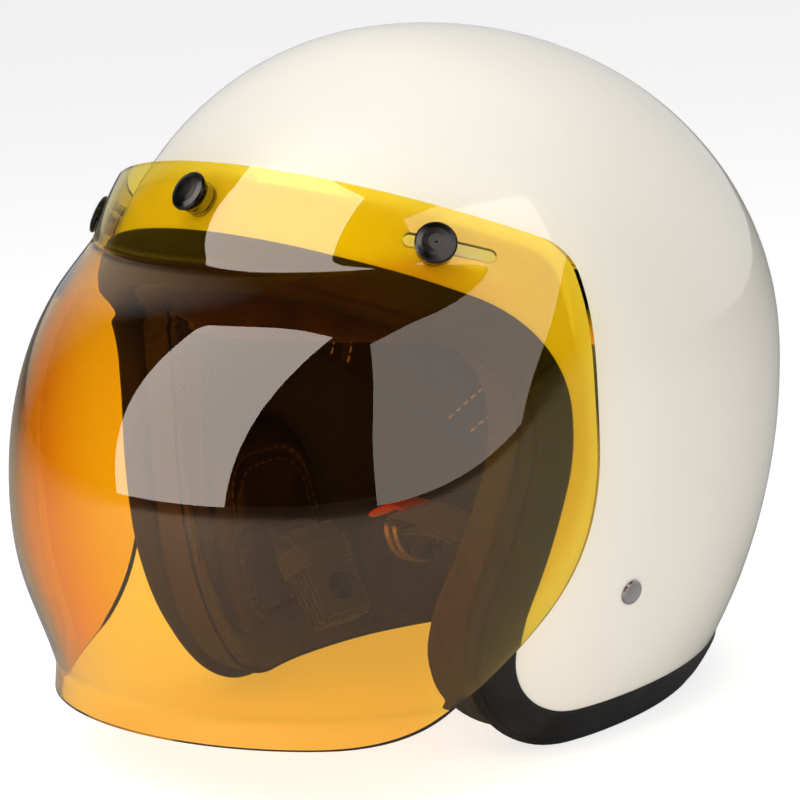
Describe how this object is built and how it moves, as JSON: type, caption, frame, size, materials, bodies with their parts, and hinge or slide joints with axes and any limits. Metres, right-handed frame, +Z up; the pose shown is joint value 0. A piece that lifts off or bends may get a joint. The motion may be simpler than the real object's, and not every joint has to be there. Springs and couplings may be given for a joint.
{
  "type": "open face motorcycle helmet",
  "caption": "Open face helmet with a gloss shell, padded leather-look liner, wrap-round edge trim, a press-stud amber bubble visor and a D-ring chin strap.",
  "frame": {"origin": "on the ground under the centre of the helmet's widest section, which is also the bottom centre of its box", "axes": "+Z up, the face looks along -Y, +X is the wearer's left"},
  "size_m": [0.246, 0.3297, 0.26],
  "materials": {
    "shell_paint": "gloss",
    "foam": "matte",
    "trim_rubber": "satin",
    "liner_leather": "satin",
    "liner_fabric": "matte",
    "snap_steel": "satin",
    "snap_gunmetal": "polished",
    "spring_brass": "satin",
    "visor_amber": "polished",
    "rivet_steel": "satin",
    "ring_steel": "polished",
    "webbing": "matte",
    "tab_red": "matte",
    "keeper_elastic": "matte"
  },
  "bodies": {
    "helmet": {"outer_shell": "shell_paint", "eps_liner": "foam", "edge_trim": "trim_rubber", "edge_lining": "liner_leather", "crown_liner": "liner_fabric", "headband_pad": "liner_leather", "neck_roll": "liner_leather", "cheek_pad_left": "liner_leather", "cheek_pad_right": "liner_leather", "snap_studs": "snap_steel", "stud_washers": "snap_steel", "strap_rivets": "rivet_steel", "strap_hangers": "rivet_steel", "strap_root_left": "webbing", "strap_root_right": "webbing"},
    "visor_assembly": {"visor": "visor_amber", "snap_caps": "snap_gunmetal", "snap_socket_centre": "snap_steel", "snap_sockets_side": "snap_steel", "socket_spring_centre": "spring_brass", "socket_springs_side": "spring_brass"},
    "left_strap": {"chin_strap_left": "webbing", "pull_tab": "tab_red"},
    "inner_ring": {"d_ring_inner": "ring_steel"},
    "outer_ring": {"d_ring_outer": "ring_steel"},
    "right_strap": {"chin_strap_right": "webbing", "strap_keeper": "keeper_elastic", "strap_snap": "snap_gunmetal"}
  },
  "joints": [
    {"name": "visor_pull", "type": "slide", "parent": "helmet", "child": "visor_assembly", "axis": [0, -0.824, 0.5666], "range_m": [0, 0.1], "deforming": ["snap_sockets_side", "socket_springs_side"]},
    {"name": "left_strap_fold", "type": "hinge", "parent": "helmet", "child": "left_strap", "pos_m": [0.0666, -0.007, 0.0605], "axis": [0, 1, 0], "range_deg": [-45, 25]},
    {"name": "inner_ring_swing", "type": "hinge", "parent": "left_strap", "child": "inner_ring", "pos_m": [0.009, -0.007, 0.073], "axis": [0, 1, 0], "range_deg": [-20, 0]},
    {"name": "outer_ring_swing", "type": "hinge", "parent": "left_strap", "child": "outer_ring", "pos_m": [0.0044, -0.007, 0.073], "axis": [0, 1, 0], "range_deg": [0, 35]},
    {"name": "right_strap_fold", "type": "hinge", "parent": "helmet", "child": "right_strap", "pos_m": [-0.0666, -0.007, 0.0605], "axis": [0, 1, 0], "range_deg": [-55, 0]}
  ]
}
